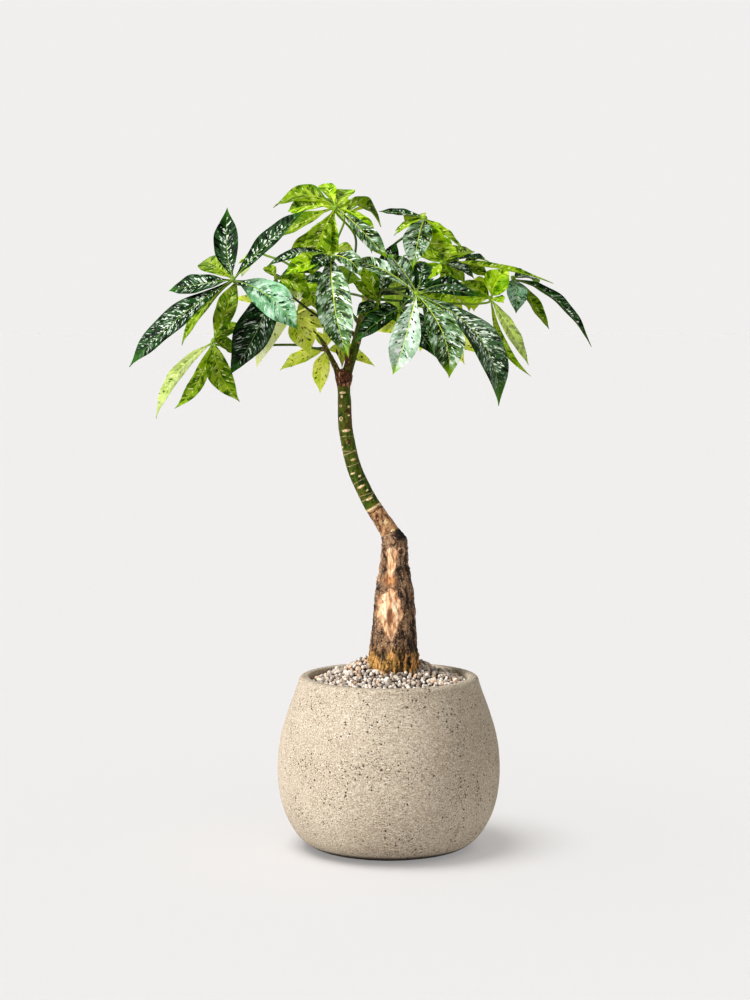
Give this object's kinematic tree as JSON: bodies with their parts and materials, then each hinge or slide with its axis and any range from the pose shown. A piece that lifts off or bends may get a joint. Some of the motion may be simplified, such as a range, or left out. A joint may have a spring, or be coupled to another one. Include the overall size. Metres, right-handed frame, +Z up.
{
  "type": "potted money tree",
  "caption": "Variegated money tree with an umbrella crown of palmate leaves on a curved stem, standing in a round-bellied stone pot topped with gravel.",
  "frame": {"origin": "centre of the pot's flat foot, on the surface that it stands on", "axes": "+Z up along the pot's axis, -Y towards the plant's front, +X to the right seen from the front"},
  "size_m": [0.5932, 0.4553, 0.8663],
  "materials": {
    "pot": "matte",
    "soil": "matte",
    "gravel": "matte",
    "bark": "matte",
    "stem": "satin",
    "leaf_dark": "satin",
    "leaf_silver": "satin",
    "leaf_lime": "satin",
    "leaf_pale": "satin"
  },
  "bodies": {
    "root": {"pot": "pot", "soil": "soil", "gravel": "gravel", "rootstock": "bark", "stem": "stem", "leaf_left": "leaf_dark", "leaf_left_low": "leaf_lime", "leaf_left_mid": "leaf_dark", "leaf_left_pale": "leaf_pale", "leaf_low_pale": "leaf_pale", "leaf_left_back": "leaf_lime", "leaf_top": "leaf_lime", "leaf_top_back": "leaf_lime", "leaf_front": "leaf_silver", "leaf_front_right": "leaf_silver", "leaf_inner_right": "leaf_dark", "leaf_right_pale": "leaf_pale", "leaf_upper_right": "leaf_lime", "leaf_right_mid": "leaf_lime", "leaf_right_low": "leaf_lime", "leaf_far_right": "leaf_dark", "leaf_back_left": "leaf_dark", "leaf_back": "leaf_silver", "leaf_back_right": "leaf_lime"}
  },
  "joints": []
}
